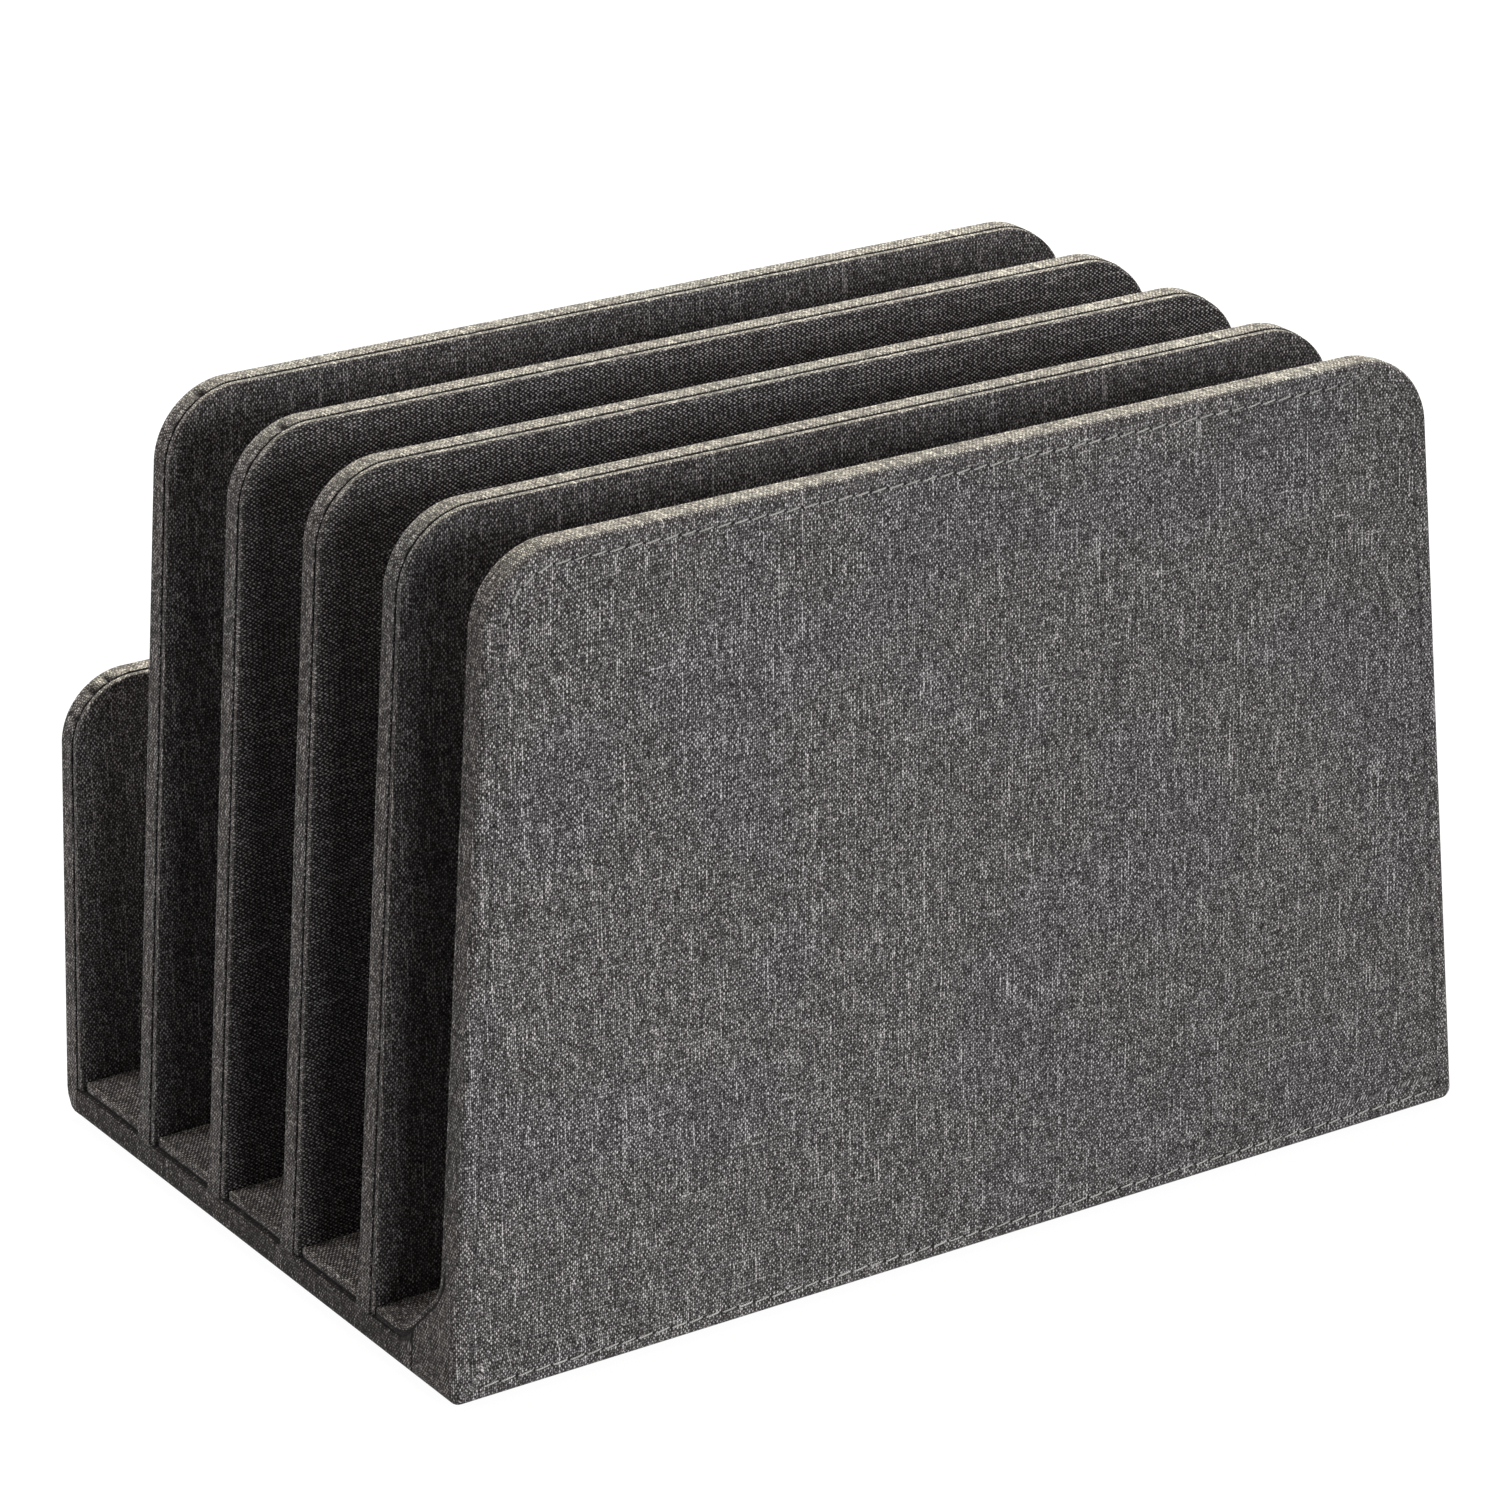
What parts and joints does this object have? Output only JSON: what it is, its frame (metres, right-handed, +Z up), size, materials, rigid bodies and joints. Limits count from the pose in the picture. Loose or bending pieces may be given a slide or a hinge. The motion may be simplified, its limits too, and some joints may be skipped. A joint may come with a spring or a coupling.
{
  "type": "device organizer stand",
  "caption": "Fabric-wrapped desk organizer: tall tapered dividers on a flat base hold tablets, slim laptops and phones upright, with a low panel at the back.",
  "frame": {"origin": "on the table, under the middle of the stand's box", "axes": "+X along the slots, -Y towards the tall front panel, +Z up"},
  "size_m": [0.2798, 0.186, 0.1931],
  "materials": {
    "heather_fabric": "grey heather plain weave with slubs, glued over board and card edges, with one line of pale stitching on the front",
    "grey_board": "plain pressed board, hidden",
    "cove_strip": "planed strip, hidden",
    "felt_lining": "thin black felt"
  },
  "bodies": {
    "root": {"front_cover": "heather_fabric", "front_liner": "heather_fabric", "front_board": "grey_board", "cove_filler": "cove_strip", "divider_cover_1": "heather_fabric", "divider_cover_2": "heather_fabric", "divider_cover_3": "heather_fabric", "divider_cover_4": "heather_fabric", "divider_facing_1": "heather_fabric", "divider_facing_2": "heather_fabric", "divider_facing_3": "heather_fabric", "divider_facing_4": "heather_fabric", "divider_board_1": "grey_board", "divider_board_2": "grey_board", "divider_board_3": "grey_board", "divider_board_4": "grey_board", "back_cover": "heather_fabric", "back_facing": "heather_fabric", "back_board": "grey_board", "base_cover": "heather_fabric", "base_board": "grey_board", "slot_floor_2": "heather_fabric", "slot_floor_3": "heather_fabric", "slot_floor_4": "heather_fabric", "slot_floor_5": "heather_fabric", "bottom_lining": "felt_lining"}
  },
  "joints": []
}
